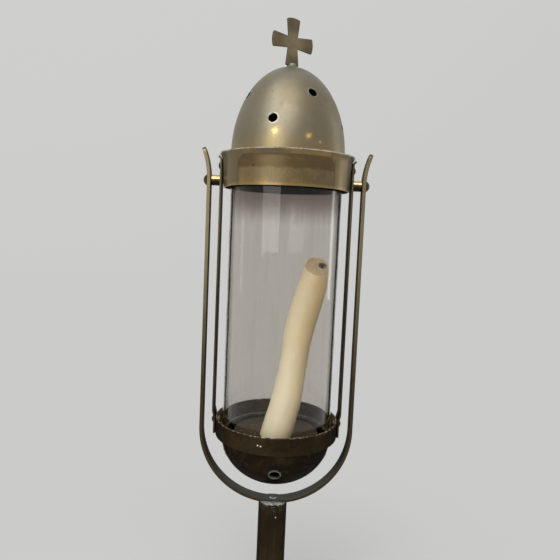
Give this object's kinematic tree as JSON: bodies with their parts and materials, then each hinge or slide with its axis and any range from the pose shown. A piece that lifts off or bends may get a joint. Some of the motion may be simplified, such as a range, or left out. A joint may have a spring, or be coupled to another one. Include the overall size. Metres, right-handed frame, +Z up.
{
  "type": "processional lantern",
  "caption": "Tall glass candle lantern under a pierced brass dome with a cross, swinging on two pins in a forked yoke with a round socket for a carrying pole.",
  "frame": {"origin": "centre of the pole socket's open mouth, at the bottom", "axes": "+Z up along the socket and the glass, +X towards the right-hand pivot seen from the front, -Y the front"},
  "size_m": [0.1628, 0.1286, 0.5892],
  "materials": {
    "yoke_brass": "tarnished, dark in the bend",
    "socket_brass": "dark brown patina",
    "braze": "bright filler metal",
    "lid_brass": "dull grey tarnish, golden low down",
    "cross_brass": "dull, dark at the edges",
    "solder": "dull grey solder",
    "collar_brass": "warm, half bright",
    "glass": "clear, slightly smoky",
    "cup_brass": "dark patina",
    "bowl_brass": "dark patina",
    "plate_brass": "brown tarnish",
    "wax": "ivory candle wax",
    "wick_cotton": "burnt black",
    "strap_brass": "dark brown patina",
    "pin_brass": "brown patina",
    "bush_brass": "rubbed bright",
    "screw_brass": "brown patina"
  },
  "bodies": {
    "yoke": {"yoke_bar": "yoke_brass", "yoke_rivet": "yoke_brass", "pole_socket": "socket_brass", "socket_plug": "socket_brass", "braze_fillets": "braze"},
    "lantern": {"top_collar": "collar_brass", "collar_ledge": "collar_brass", "glass_chimney": "glass", "cup_band": "cup_brass", "drip_bowl": "bowl_brass", "bowl_solder": "solder", "pricket": "plate_brass", "candle_plate": "plate_brass", "candle": "wax", "wick": "wick_cotton", "side_strap_right": "strap_brass", "side_strap_left": "strap_brass", "pivot_pin_right": "pin_brass", "pivot_pin_left": "pin_brass", "pivot_nuts": "pin_brass", "pivot_bush_right": "bush_brass", "pivot_bush_left": "bush_brass", "strap_screws_top": "screw_brass", "strap_nuts_top": "screw_brass", "strap_screws_bottom": "screw_brass", "strap_nuts_bottom": "screw_brass"},
    "lid": {"lid_dome": "lid_brass", "lid_spigot": "lid_brass", "finial_cross": "cross_brass", "finial_solder": "solder"}
  },
  "joints": [
    {"name": "lantern_swing", "type": "hinge", "parent": "yoke", "child": "lantern", "pos_m": [0, 0, 0.4366], "axis": [1, 0, 0], "continuous": true},
    {"name": "lid_lift", "type": "slide", "parent": "lantern", "child": "lid", "axis": [0, 0, 1], "range_m": [0, 0.06]}
  ]
}
